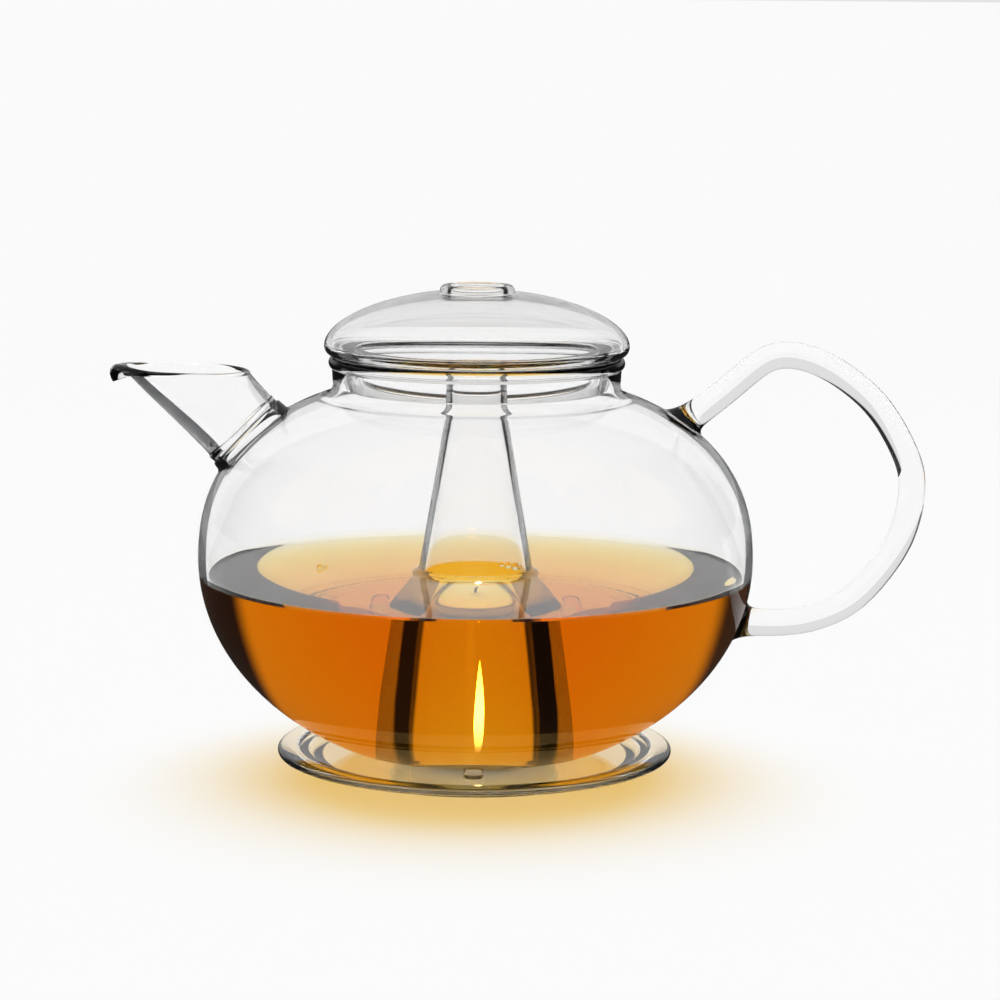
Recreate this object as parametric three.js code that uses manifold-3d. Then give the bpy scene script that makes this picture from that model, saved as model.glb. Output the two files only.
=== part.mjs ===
// Glass teapot with a tealight warmer. A squat blown pot stands on three glass nubs in a round saucer.
// A cone rises through the pot as a chimney over the tealight, and a hollow lid closes the neck.
// Millimetres, +Z up. The origin is on the pot's axis at the saucer's flat underside.
// +X points to the handle and -X to the spout.
import * as THREE from 'three';
import { mergeVertices } from 'three/addons/utils/BufferGeometryUtils.js';
import Module from 'manifold-3d';

const wasm = await Module();
wasm.setup();

// ---- driving dimensions ----
const GAP = 0.3;                  // left between pieces that touch or are fused in the glass

const SAUCER_WELL_R = 53;         // edge of the shallow well
const SAUCER_FLANGE_W = 6.5;      // flat flange round the well
const SAUCER_SLOPE_W = 6;         // run of the well's side
const SAUCER_GLASS = 3;           // glass under the well
const SAUCER_FLANGE_T = 2.4;
const SAUCER_RIM_Z = 5.7;         // top of the flange

const NUB_COUNT = 3;
const NUB_R = 3;
const NUB_H = 3.4;

const CUP_R = 19;                 // a standard tealight
const CUP_H = 15;
const CUP_WALL = 0.5;
const CUP_LIP = 0.7;              // rolled edge, beyond the wall
const WAX_SINK = 1.6;             // wax level below the cup's edge
const SUSTAINER_R = 6;
const SUSTAINER_T = 0.5;
const SUSTAINER_NECK_H = 3;
const WICK_R = 0.7;
const WICK_PROUD = 7;             // wick standing out of the wax

const POT_WALL = 2.2;
const POT_R = 83.1;               // widest outside radius
const POT_BELOW = 64;             // half height of the round below the widest line
const POT_ABOVE = 55.5;           // half height of the fuller round above it
const POT_ABOVE_POWER = 2.35;     // 2 is an ellipse, more is squarer shouldered
const POT_WIDEST_RISE = 56;       // widest line above the pot's flat bottom

const NECK_R = 42.9;
const NECK_FILLET = 3.5;
const NECK_H = 12;                // shoulder to the top of the rim
const RIM_ROLL = 2;               // radius of the rolled rim
const RIM_PROUD = 1.3;            // roll outside the neck

const CHIMNEY_WALL = 1.9;
const CANDLE_ROOM = 5.1;          // round the tealight, at the chimney's foot
const CHIMNEY_TOP_R = 9;
const CHIMNEY_TUBE_L = 14;        // straight stretch at the top
const CHIMNEY_TOP_DROP = 3;       // top of the chimney below the rim

const SPOUT_WALL = 2;
const SPOUT_ANGLE = 37.8;         // place on the shoulder's curve, degrees
const SPOUT_RISE = 45;            // direction of the spout's root, degrees above level
const SPOUT_ROOT_R = 13.05;
const SPOUT_HOLE_R = 10.8;
const SPOUT_COLLAR_H = 1.4;       // collar's face above the pot, on the spout's axis
const SPOUT_COLLAR_PROUD = 0.5;   // collar outside the spout's root
// under edge x, z and top edge x, z from the spout's root, then half width: from root to rim
const SPOUT_SECTIONS = [
  [-12.3, -5.4, 6.6, 11.5, 12.8],
  [-18.0, 0.5, 4.8, 13.4, 12.8],
  [-25.0, 7.4, 3.1, 15.2, 13.5],
  [-32.0, 14.3, 1.6, 16.9, 14.8],
  [-37.2, 19.7, 0.4, 18.3, 16.0],
];
// pouring lip curl, x and z from the rim's end
const LIP_CURL = [[-1.6, 1.2], [-3.0, 0.9], [-3.7, -0.6], [-3.3, -2.6]];
const LIP_T = 1.2;                // glass at the tip of the curl

const ROD_R = 4.25;
const HANDLE_UP_ANGLE = 45.4;     // upper weld on the shoulder's curve, degrees
const HANDLE_UP_RISE = 37;        // direction that the rod leaves it in
const HANDLE_LOW_ANGLE = 17.5;    // lower weld under the widest line, degrees
const WELD_L = 5.2;
const WELD_R = 8;
// middle line of the bow, x and z: the first list from the upper weld, the second from the lower one
const BOW_UPPER = [[9.6, 6.9], [17.6, 13.8], [24.7, 19.6], [31.2, 21.3], [38.5, 20.0], [45.6, 16.8], [52.5, 12.0],
  [60.7, 4.2]];
const BOW_LOWER = [[51.3, 49.2], [52.5, 41.2], [51.6, 32.7], [48.1, 22.3], [37.9, 8.8], [28.9, 2.8], [16.0, -0.8]];

const LID_WALL = 2;
const LID_PROUD = 1.3;            // lid outside the neck's rim
const LID_ROUND_H = 2.7;          // turned-under edge
const LID_DOME_H = 16.6;
const LID_DOME_POWER = 1.87;
const LID_CLEARANCE = 1.7;        // collar inside the neck
const LID_COLLAR_H = 10.6;
const LID_COLLAR_TAPER = 1.4;
const VENT_R = 9.5;               // middle of the vent ring's glass
const VENT_T = 1.6;
const VENT_PROUD = 1.5;           // top of the ring above the dome's crown

const LARGE_SEGMENTS = 40;        // facets round the large turned pieces
const SMALL_SEGMENTS = 24;        // facets round the small ones
const CUTTER_SEGMENTS = 96;

// ---- places that follow ----
const cupZ = SAUCER_GLASS + GAP;
const potZ = SAUCER_GLASS + NUB_H + 2 * GAP;
const widestZ = potZ + POT_WIDEST_RISE;
const chimneyFootR = CUP_R + CANDLE_ROOM + CHIMNEY_WALL;
const rimR = NECK_R + RIM_PROUD;
const shoulderZ = widestZ + roundHeight(NECK_R + NECK_FILLET, POT_R, POT_ABOVE, POT_ABOVE_POWER);
const rimZ = shoulderZ + NECK_H;
const seatZ = rimZ + GAP;
const chimneyTopZ = rimZ - CHIMNEY_TOP_DROP;
const lidR = rimR + LID_PROUD;
const collarR = NECK_R - POT_WALL - LID_CLEARANCE;
const crownZ = seatZ + LID_ROUND_H + LID_DOME_H;

const clearGlass = { color: 0xf2f7f6, roughness: 0.02, metalness: 0, transparent: true, opacity: 0.35 };
const LOOKS = {
  glass: clearGlass,
  aluminium: { color: 0xc9ccd0, roughness: 0.35, metalness: 1 },
  wax: { color: 0xf4f0e4, roughness: 0.45, metalness: 0 },
  tinplate: { color: 0x9a9da1, roughness: 0.3, metalness: 1 },
  wick: { color: 0x3a2f26, roughness: 0.9, metalness: 0 },
};

// ---- curves ----

// Height of a round r^power + h^power = 1 with the given half axes, at radius r.
function roundHeight(r, halfWidth, halfHeight, power) {
  return halfHeight * (1 - (r / halfWidth) ** power) ** (1 / power);
}

// Points of that round between two angles in degrees, about a centre height.
function roundArc(halfWidth, halfHeight, power, centreZ, fromDeg, toDeg, steps) {
  const points = [];
  for (let i = 0; i <= steps; i += 1) {
    const angle = THREE.MathUtils.degToRad(fromDeg + ((toDeg - fromDeg) * i) / steps);
    const r = halfWidth * Math.max(Math.cos(angle), 0) ** (2 / power);
    const h = halfHeight * Math.sign(Math.sin(angle)) * Math.abs(Math.sin(angle)) ** (2 / power);
    points.push(new THREE.Vector2(r, centreZ + h));
  }
  return points;
}

// Points of an ellipse's arc about (r, z), angles in degrees from +r towards +z.
function arc(r, z, radiusR, radiusZ, fromDeg, toDeg, steps) {
  const points = [];
  for (let i = 0; i <= steps; i += 1) {
    const angle = THREE.MathUtils.degToRad(fromDeg + ((toDeg - fromDeg) * i) / steps);
    points.push(new THREE.Vector2(r + radiusR * Math.cos(angle), z + radiusZ * Math.sin(angle)));
  }
  return points;
}

// The pot's outline from its flat bottom to the top of the neck's fillet, moved inwards by depth.
function potOutline(depth) {
  const bottomZ = potZ + depth;
  const lowDeg = -THREE.MathUtils.radToDeg(Math.asin((widestZ - bottomZ) / (POT_BELOW - depth)));
  const low = roundArc(POT_R - depth, POT_BELOW - depth, 2, widestZ, lowDeg, 0, 7);
  const filletR = NECK_R + NECK_FILLET;
  const ratio = (filletR / (POT_R - depth)) ** (POT_ABOVE_POWER / 2);
  const highDeg = THREE.MathUtils.radToDeg(Math.acos(ratio));
  const high = roundArc(POT_R - depth, POT_ABOVE - depth, POT_ABOVE_POWER, widestZ, 0, highDeg, 8).slice(1);
  const filletZ = shoulderZ + NECK_FILLET;
  const fillet = arc(filletR, filletZ, NECK_FILLET + depth, NECK_FILLET + depth, -110, -180, 3);
  return [...low, ...high, ...fillet];
}

// A point on the shoulder's curve (from the widest line up) or under it (down), as x and z.
function onPot(deg, above) {
  const [halfHeight, power] = above ? [POT_ABOVE, POT_ABOVE_POWER] : [POT_BELOW, 2];
  const point = roundArc(POT_R, halfHeight, power, widestZ, above ? deg : -deg, 0, 1)[0];
  return new THREE.Vector2(point.x, point.y);
}

// ---- solids ----

// Turns a mesh's faces out: a closed mesh has a positive volume then.
function outward(geometry) {
  let flat = geometry;
  flat.deleteAttribute('normal');
  flat.deleteAttribute('uv');
  flat = mergeVertices(flat, 1e-4);
  const p = flat.attributes.position;
  const index = [];
  let volume = 0;
  const [a, b, c] = [new THREE.Vector3(), new THREE.Vector3(), new THREE.Vector3()];
  for (let i = 0; i < flat.index.count; i += 3) {
    const [i0, i1, i2] = [flat.index.getX(i), flat.index.getX(i + 1), flat.index.getX(i + 2)];
    if (i0 === i1 || i1 === i2 || i2 === i0) continue;
    index.push(i0, i1, i2);
    a.fromBufferAttribute(p, i0);
    b.fromBufferAttribute(p, i1);
    c.fromBufferAttribute(p, i2);
    volume += a.dot(b.cross(c)) / 6;
  }
  if (volume < 0) index.reverse();
  flat.setIndex(index);
  return flat;
}

// A profile in r and z turned about the Z axis. It ends on the axis, or closes on itself.
function turned(profile, segments) {
  const closed = profile[0].x < 1e-6 ? profile : [...profile, profile[0].clone()];
  return outward(new THREE.LatheGeometry(closed, segments).rotateX(Math.PI / 2));
}

function toSolid(geometry) {
  return new wasm.Manifold(new wasm.Mesh({
    numProp: 3,
    vertProperties: new Float32Array(geometry.attributes.position.array),
    triVerts: new Uint32Array(geometry.index.array),
  }));
}

function toGeometry(solid) {
  const mesh = solid.getMesh();
  const geometry = new THREE.BufferGeometry();
  geometry.setAttribute('position', new THREE.BufferAttribute(new Float32Array(mesh.vertProperties), 3));
  geometry.setIndex(new THREE.BufferAttribute(new Uint32Array(mesh.triVerts), 1));
  return geometry;
}

// Turns a shape made along +Z to stand at a point of the XZ plane, tilted the given degrees above level.
function standAt(geometry, x, z, riseDeg, towards) {
  const tilt = THREE.MathUtils.degToRad(90 - riseDeg) * towards;
  return geometry.rotateY(tilt).translate(x, 0, z);
}

// The whole outside of the pot, one gap larger, which trims what is fused to it.
function potCutter() {
  const side = potOutline(-GAP);
  const axis = [new THREE.Vector2(0, side[0].y), ...side, new THREE.Vector2(0, side[side.length - 1].y)];
  return toSolid(turned(axis, CUTTER_SEGMENTS));
}

function namedMesh(name, geometry, look) {
  const mesh = new THREE.Mesh(geometry, new THREE.MeshStandardMaterial(LOOKS[look]));
  mesh.name = name;
  return mesh;
}

// ---- pieces ----

function saucer() {
  const footR = SAUCER_WELL_R - SAUCER_SLOPE_W;
  const rimR0 = SAUCER_WELL_R + SAUCER_FLANGE_W;
  const flangeZ = SAUCER_RIM_Z - SAUCER_FLANGE_T;
  const edge = SAUCER_FLANGE_T / 2;
  return turned([
    new THREE.Vector2(0, 0),
    new THREE.Vector2(footR, 0),
    new THREE.Vector2(SAUCER_WELL_R - 1, flangeZ),
    ...arc(rimR0 - edge, flangeZ + edge, edge, edge, -90, 90, 4),
    new THREE.Vector2(SAUCER_WELL_R, SAUCER_RIM_Z),
    new THREE.Vector2(footR, SAUCER_GLASS),
    new THREE.Vector2(0, SAUCER_GLASS),
  ], LARGE_SEGMENTS);
}

function restNub(index) {
  const heelR = potOutline(0)[0].x;
  const circleR = (chimneyFootR + GAP + heelR) / 2;
  const angle = (2 * Math.PI * (index + 0.25)) / NUB_COUNT;
  const shape = turned([
    new THREE.Vector2(0, 0),
    new THREE.Vector2(NUB_R, 0),
    ...arc(NUB_R * 0.4, NUB_H * 0.4, NUB_R * 0.6, NUB_H * 0.6, 0, 90, 3),
    new THREE.Vector2(0, NUB_H),
  ], SMALL_SEGMENTS / 2);
  return shape.translate(circleR * Math.cos(angle), circleR * Math.sin(angle), cupZ);
}

function tealightCup() {
  const top = cupZ + CUP_H;
  const inner = CUP_R - CUP_WALL;
  return turned([
    new THREE.Vector2(0, cupZ),
    new THREE.Vector2(CUP_R - 1, cupZ),
    new THREE.Vector2(CUP_R, cupZ + 1),
    new THREE.Vector2(CUP_R, top - CUP_LIP * 2),
    ...arc(CUP_R, top - CUP_LIP, CUP_LIP, CUP_LIP, -60, 90, 3),
    new THREE.Vector2(inner, top),
    new THREE.Vector2(inner, cupZ + 1),
    new THREE.Vector2(inner - 0.5, cupZ + CUP_WALL),
    new THREE.Vector2(0, cupZ + CUP_WALL),
  ], LARGE_SEGMENTS);
}

const waxFloorZ = cupZ + CUP_WALL + GAP;
const waxTopZ = cupZ + CUP_H - WAX_SINK;
const sustainerNeckR = WICK_R + GAP + 0.6;
const sustainerTopZ = waxFloorZ + SUSTAINER_T + SUSTAINER_NECK_H;

function tealightWax() {
  const outer = CUP_R - CUP_WALL - GAP;
  const bore = WICK_R + GAP;
  const pocketZ = waxFloorZ + SUSTAINER_T + GAP;
  return turned([
    new THREE.Vector2(SUSTAINER_R + GAP, waxFloorZ),
    new THREE.Vector2(outer - 1, waxFloorZ),
    new THREE.Vector2(outer, waxFloorZ + 1),
    new THREE.Vector2(outer, waxTopZ),
    new THREE.Vector2(outer - 2, waxTopZ - 0.6),
    new THREE.Vector2(bore, waxTopZ - 0.6),
    new THREE.Vector2(bore, sustainerTopZ + GAP),
    new THREE.Vector2(sustainerNeckR + GAP, sustainerTopZ + GAP),
    new THREE.Vector2(sustainerNeckR + GAP, pocketZ),
    new THREE.Vector2(SUSTAINER_R + GAP, pocketZ),
  ], SMALL_SEGMENTS);
}

function wickSustainer() {
  const bore = WICK_R + GAP;
  return turned([
    new THREE.Vector2(bore, waxFloorZ),
    new THREE.Vector2(SUSTAINER_R, waxFloorZ),
    new THREE.Vector2(SUSTAINER_R, waxFloorZ + SUSTAINER_T),
    new THREE.Vector2(sustainerNeckR, waxFloorZ + SUSTAINER_T),
    new THREE.Vector2(sustainerNeckR, sustainerTopZ),
    new THREE.Vector2(bore, sustainerTopZ),
  ], SMALL_SEGMENTS);
}

function wick() {
  return turned([
    new THREE.Vector2(0, waxFloorZ),
    new THREE.Vector2(WICK_R, waxFloorZ),
    new THREE.Vector2(WICK_R, waxTopZ + WICK_PROUD),
    new THREE.Vector2(0, waxTopZ + WICK_PROUD + WICK_R),
  ], SMALL_SEGMENTS / 2);
}

function potBody() {
  const outside = potOutline(0);
  const inside = potOutline(POT_WALL).reverse();
  const holeR = chimneyFootR + GAP;
  const rollR = rimR - RIM_ROLL;
  const innerNeckDeg = THREE.MathUtils.radToDeg(Math.acos((NECK_R - POT_WALL - rollR) / RIM_ROLL));
  const roll = arc(rollR, rimZ - RIM_ROLL, RIM_ROLL, RIM_ROLL, -60, innerNeckDeg, 6);
  const shell = toSolid(turned([
    new THREE.Vector2(holeR, potZ),
    ...outside,
    ...roll,
    ...inside,
    new THREE.Vector2(holeR, potZ + POT_WALL),
  ], LARGE_SEGMENTS));
  const root = onPot(SPOUT_ANGLE, true);
  const drill = turned([
    new THREE.Vector2(0, -20),
    new THREE.Vector2(SPOUT_HOLE_R, -20),
    new THREE.Vector2(SPOUT_HOLE_R, 20),
    new THREE.Vector2(0, 20),
  ], SMALL_SEGMENTS);
  return toGeometry(shell.subtract(toSolid(standAt(drill, -root.x, root.y, SPOUT_RISE, -1))));
}

function chimney() {
  const bendZ = chimneyTopZ - CHIMNEY_TUBE_L;
  const lip = CHIMNEY_WALL / 2;
  const lipR = CHIMNEY_TOP_R - lip + 0.3;
  return turned([
    new THREE.Vector2(chimneyFootR, potZ),
    new THREE.Vector2(CHIMNEY_TOP_R + 1.1, bendZ - 6),
    new THREE.Vector2(CHIMNEY_TOP_R, bendZ + 4),
    ...arc(lipR, chimneyTopZ - lip, lip, lip, -20, 200, 4),
    new THREE.Vector2(CHIMNEY_TOP_R - CHIMNEY_WALL, bendZ + 4),
    new THREE.Vector2(CHIMNEY_TOP_R + 1.1 - CHIMNEY_WALL, bendZ - 6),
    new THREE.Vector2(chimneyFootR - CHIMNEY_WALL, potZ),
  ], SMALL_SEGMENTS);
}

function spoutCollar() {
  const root = onPot(SPOUT_ANGLE, true);
  const outer = SPOUT_ROOT_R + SPOUT_COLLAR_PROUD;
  const top = SPOUT_COLLAR_H;
  const ring = turned([
    new THREE.Vector2(SPOUT_HOLE_R, -8),
    new THREE.Vector2(outer, -8),
    ...arc(outer - 0.7, top - 0.7, 0.7, 0.7, 0, 90, 3),
    new THREE.Vector2(SPOUT_HOLE_R, top),
  ], SMALL_SEGMENTS);
  return toGeometry(toSolid(standAt(ring, -root.x, root.y, SPOUT_RISE, -1)).subtract(potCutter()));
}

// The spout is a loft: closed rings round its passage from root to rim, then the lip's curl.
function spout() {
  const root = onPot(SPOUT_ANGLE, true);
  const rise = THREE.MathUtils.degToRad(SPOUT_RISE);
  const along = new THREE.Vector2(-Math.cos(rise), Math.sin(rise));
  const across = new THREE.Vector2(along.y, -along.x);
  const start = along.clone().multiplyScalar(SPOUT_COLLAR_H + GAP);
  const first = [
    start.x - across.x * SPOUT_ROOT_R, start.y - across.y * SPOUT_ROOT_R,
    start.x + across.x * SPOUT_ROOT_R, start.y + across.y * SPOUT_ROOT_R, SPOUT_ROOT_R,
  ];
  const sections = [first, ...SPOUT_SECTIONS];
  const segments = SMALL_SEGMENTS;
  const rimIndex = sections.length - 1;

  const ring = (section, shrink, curl) => {
    const under = new THREE.Vector2(section[0], section[1]);
    const over = new THREE.Vector2(section[2], section[3]);
    const middle = under.clone().add(over).multiplyScalar(0.5);
    const half = over.clone().sub(under).multiplyScalar(0.5);
    const size = 1 - shrink / half.length();
    const points = [];
    for (let i = 0; i < segments; i += 1) {
      const angle = (2 * Math.PI * i) / segments;
      const lipShare = ((1 - Math.cos(angle)) / 2) ** 8;
      points.push(new THREE.Vector3(
        -root.x + middle.x + half.x * size * Math.cos(angle) + curl[0] * lipShare,
        (section[4] - shrink) * Math.sin(angle),
        root.y + middle.y + half.y * size * Math.cos(angle) + curl[1] * lipShare,
      ));
    }
    return points;
  };

  const flat = [0, 0];
  const outer = sections.map((section) => ring(section, 0, flat));
  LIP_CURL.forEach(([x, z]) => outer.push(ring(sections[rimIndex], 0, [x, z])));
  const inner = sections.map((section) => ring(section, SPOUT_WALL, flat));
  LIP_CURL.slice(0, 2).forEach(([x, z]) => inner.push(ring(sections[rimIndex], SPOUT_WALL, [x, z + LIP_T])));
  const rings = [...outer, ...inner.reverse()];
  const positions = rings.flat().flatMap((point) => [point.x, point.y, point.z]);
  const index = [];
  rings.forEach((_, k) => {
    const next = (k + 1) % rings.length;
    for (let i = 0; i < segments; i += 1) {
      const j = (i + 1) % segments;
      const [a, b] = [k * segments + i, k * segments + j];
      const [c, d] = [next * segments + i, next * segments + j];
      index.push(a, b, d, a, d, c);
    }
  });
  const geometry = new THREE.BufferGeometry();
  geometry.setAttribute('position', new THREE.Float32BufferAttribute(positions, 3));
  geometry.setIndex(index);
  return outward(geometry);
}

const upperWeld = onPot(HANDLE_UP_ANGLE, true);
const lowerWeld = onPot(HANDLE_LOW_ANGLE, false);

function handle() {
  const rise = THREE.MathUtils.degToRad(HANDLE_UP_RISE);
  const startL = WELD_L + GAP;
  const at = (from, [x, z]) => new THREE.Vector3(from.x + x, 0, from.y + z);
  const route = [
    at(upperWeld, [startL * Math.cos(rise), startL * Math.sin(rise)]),
    ...BOW_UPPER.map((point) => at(upperWeld, point)),
    ...BOW_LOWER.map((point) => at(lowerWeld, point)),
    at(lowerWeld, [startL, 0]),
  ];
  const section = new THREE.Shape();
  section.absarc(0, 0, ROD_R, 0, 2 * Math.PI);
  return outward(new THREE.ExtrudeGeometry(section, {
    extrudePath: new THREE.CatmullRomCurve3(route, false, 'centripetal'),
    steps: 34,
    curveSegments: 10,
    bevelEnabled: false,
  }));
}

function handleWeld(place, riseDeg) {
  const flare = turned([
    new THREE.Vector2(0, -7),
    new THREE.Vector2(WELD_R, -7),
    new THREE.Vector2(WELD_R, -1),
    new THREE.Vector2(WELD_R * 0.72, 1.6),
    new THREE.Vector2(ROD_R + 0.3, WELD_L),
    new THREE.Vector2(0, WELD_L),
  ], SMALL_SEGMENTS);
  return toGeometry(toSolid(standAt(flare, place.x, place.y, riseDeg, 1)).subtract(potCutter()));
}

function lidDome() {
  const widest = seatZ + LID_ROUND_H;
  const holeR = VENT_R + VENT_T + GAP;
  const round = (depth) => {
    const ratio = (holeR / (lidR - depth)) ** (LID_DOME_POWER / 2);
    const topDeg = THREE.MathUtils.radToDeg(Math.acos(ratio));
    return roundArc(lidR - depth, LID_DOME_H - depth, LID_DOME_POWER, widest, 0, topDeg, 7);
  };
  const edge = LID_ROUND_H * 0.8;
  const seatInnerR = collarR - LID_WALL;
  return turned([
    new THREE.Vector2(seatInnerR, seatZ),
    ...arc(lidR - edge, widest, edge, LID_ROUND_H, -90, -15, 4),
    ...round(0),
    ...round(LID_WALL).reverse(),
    new THREE.Vector2(lidR - LID_WALL - 0.6, seatZ + LID_WALL),
    new THREE.Vector2(seatInnerR, seatZ + LID_WALL),
  ], LARGE_SEGMENTS);
}

function lidCollar() {
  const top = seatZ - GAP;
  const bottom = top - LID_COLLAR_H;
  const lowR = collarR - LID_COLLAR_TAPER;
  const half = LID_WALL / 2;
  return turned([
    new THREE.Vector2(collarR, top),
    new THREE.Vector2(collarR - 0.3, top - LID_COLLAR_H / 2),
    ...arc(lowR - half, bottom + half, half, half, 0, -180, 4),
    new THREE.Vector2(collarR - 0.3 - LID_WALL, top - LID_COLLAR_H / 2),
    new THREE.Vector2(collarR - LID_WALL, top),
  ], LARGE_SEGMENTS);
}

function lidVentRing() {
  return turned(arc(VENT_R, crownZ + VENT_PROUD - VENT_T, VENT_T, VENT_T, 0, 315, 7), SMALL_SEGMENTS);
}

// ---- the object ----

const teapot = new THREE.Group();
teapot.name = 'glass_teapot';

const base = new THREE.Group();
base.add(namedMesh('saucer', saucer(), 'glass'));
for (let i = 0; i < NUB_COUNT; i += 1) {
  base.add(namedMesh(`rest_nub_${i + 1}`, restNub(i), 'glass'));
}

const tealight = new THREE.Group();
tealight.add(
  namedMesh('tealight_cup', tealightCup(), 'aluminium'),
  namedMesh('tealight_wax', tealightWax(), 'wax'),
  namedMesh('wick_sustainer', wickSustainer(), 'tinplate'),
  namedMesh('wick', wick(), 'wick'),
);

const pot = new THREE.Group();
pot.add(
  namedMesh('pot_body', potBody(), 'glass'),
  namedMesh('chimney', chimney(), 'glass'),
  namedMesh('spout_collar', spoutCollar(), 'glass'),
  namedMesh('spout', spout(), 'glass'),
  namedMesh('handle', handle(), 'glass'),
  namedMesh('handle_weld_upper', handleWeld(upperWeld, HANDLE_UP_RISE), 'glass'),
  namedMesh('handle_weld_lower', handleWeld(lowerWeld, 0), 'glass'),
);

const lid = new THREE.Group();
lid.add(
  namedMesh('lid_dome', lidDome(), 'glass'),
  namedMesh('lid_collar', lidCollar(), 'glass'),
  namedMesh('lid_vent_ring', lidVentRing(), 'glass'),
);

teapot.add(base, tealight, pot, lid);

export default teapot;
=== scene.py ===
# %% [markdown]
# # A glass teapot with its own candle warmer
# The real pot is blown and lamp-worked from clear borosilicate glass. It stands on a glass saucer, and a
# tealight burns under it inside a glass cone that rises through the tea. The frame below is the finished
# design: every piece in this lesson is placed from it, so nothing is fitted by eye afterwards.

# %% Load the design
import math

import bmesh
import bpy
from mathutils import Matrix, Vector


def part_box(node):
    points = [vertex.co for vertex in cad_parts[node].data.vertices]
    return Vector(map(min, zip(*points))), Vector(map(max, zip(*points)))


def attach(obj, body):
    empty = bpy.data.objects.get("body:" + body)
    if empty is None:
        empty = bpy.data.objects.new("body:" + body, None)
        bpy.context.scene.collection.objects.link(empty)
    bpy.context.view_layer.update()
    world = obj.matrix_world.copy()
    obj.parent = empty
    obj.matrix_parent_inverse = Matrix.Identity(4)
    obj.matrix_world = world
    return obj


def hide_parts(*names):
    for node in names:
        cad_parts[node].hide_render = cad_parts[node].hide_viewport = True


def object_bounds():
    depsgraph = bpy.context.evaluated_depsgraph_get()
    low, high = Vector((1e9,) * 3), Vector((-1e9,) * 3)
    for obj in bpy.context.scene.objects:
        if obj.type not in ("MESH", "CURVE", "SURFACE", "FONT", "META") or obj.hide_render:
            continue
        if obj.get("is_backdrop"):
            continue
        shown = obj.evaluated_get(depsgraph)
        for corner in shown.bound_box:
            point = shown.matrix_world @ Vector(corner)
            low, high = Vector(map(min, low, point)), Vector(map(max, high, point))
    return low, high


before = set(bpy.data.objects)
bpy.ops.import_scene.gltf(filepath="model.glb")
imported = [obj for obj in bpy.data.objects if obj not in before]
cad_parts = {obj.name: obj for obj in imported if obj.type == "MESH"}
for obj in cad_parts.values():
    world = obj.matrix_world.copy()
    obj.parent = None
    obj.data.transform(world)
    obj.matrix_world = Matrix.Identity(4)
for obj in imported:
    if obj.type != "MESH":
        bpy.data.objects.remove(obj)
cad_bounds = [list(corner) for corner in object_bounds()]
MM = 0.001
print("design box", [[round(c / MM, 1) for c in corner] for corner in cad_bounds])

# %% [markdown]
# ## Camera
# A long lens from one metre keeps the glass round and undistorted, as in a product picture. It looks
# slightly down, so that the tea's surface shows as a narrow ellipse.

# %% Camera
CAMERA_AWAY = 1000 * MM
CAMERA_HEIGHT = 233 * MM
AIM = Vector((7.2 * MM, 0, 80.4 * MM))
CAMERA_ROLL = math.radians(0.43)
LENS = 121.4
SENSOR = 36

camera_data = bpy.data.cameras.new("camera")
camera_data.lens = LENS
camera_data.sensor_width = SENSOR
camera_data.clip_start = 10 * MM
camera = bpy.data.objects.new("camera", camera_data)
bpy.context.scene.collection.objects.link(camera)
eye = Vector((AIM.x, -CAMERA_AWAY, CAMERA_HEIGHT))
look = (AIM - eye).to_track_quat("-Z", "Y").to_matrix().to_4x4()
camera.matrix_world = Matrix.Translation(eye) @ look @ Matrix.Rotation(CAMERA_ROLL, 4, "Z")
bpy.context.scene.camera = camera
print("looking down", round(math.degrees(math.atan2(CAMERA_HEIGHT - AIM.z, CAMERA_AWAY)), 1), "degrees")

# %% [markdown]
# ## Tools for node trees
# Every finish below is a small tree of nodes. It could be built by hand in the shader editor. These
# helpers do the same in a line each: add a node, wire two together, work out a number, fade softly, mix
# two surfaces.

# %% Helpers for node trees
def new_material(name):
    material = bpy.data.materials.new(name)
    material.use_nodes = True
    material.node_tree.nodes.clear()
    return material


def add(tree, kind, **settings):
    node = tree.nodes.new(kind)
    for key, value in settings.items():
        setattr(node, key, value)
    return node


def wire(tree, source, target):
    tree.links.new(source, target)


def worked_out(tree, operation, *values):
    """A Math node on values that are sockets or plain numbers."""
    node = add(tree, "ShaderNodeMath", operation=operation)
    for socket, value in zip(node.inputs, values):
        if isinstance(value, (int, float)):
            socket.default_value = value
        else:
            wire(tree, value, socket)
    return node.outputs[0]


def faded(tree, value, start, end, at_start=0.0, at_end=1.0):
    """A soft step from one number, at start and below, to another, at end and above."""
    node = add(tree, "ShaderNodeMapRange", interpolation_type="SMOOTHSTEP")
    for name, number in (("From Min", start), ("From Max", end), ("To Min", at_start), ("To Max", at_end)):
        node.inputs[name].default_value = number
    wire(tree, value, node.inputs["Value"])
    return node.outputs["Result"]


def parts_of(tree, vector):
    """The X, Y and Z of a vector socket."""
    node = add(tree, "ShaderNodeSeparateXYZ")
    wire(tree, vector, node.inputs[0])
    return node.outputs


def mixed(tree, factor, first, second):
    mix = add(tree, "ShaderNodeMixShader")
    wire(tree, factor, mix.inputs["Fac"])
    wire(tree, first, mix.inputs[1])
    wire(tree, second, mix.inputs[2])
    return mix.outputs[0]


def see_through(tree):
    return add(tree, "ShaderNodeBsdfTransparent").outputs[0]


def shining(tree, strength):
    light = add(tree, "ShaderNodeEmission")
    light.inputs["Color"].default_value = (1, 1, 1, 1)
    light.inputs["Strength"].default_value = strength
    return light


def seen_in_mirror(tree):
    """1 where the surface is seen by a sharp reflection, and not through glass."""
    path = add(tree, "ShaderNodeLightPath").outputs
    return worked_out(tree, "MULTIPLY", path["Is Glossy Ray"], path["Is Reflection Ray"])


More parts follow.
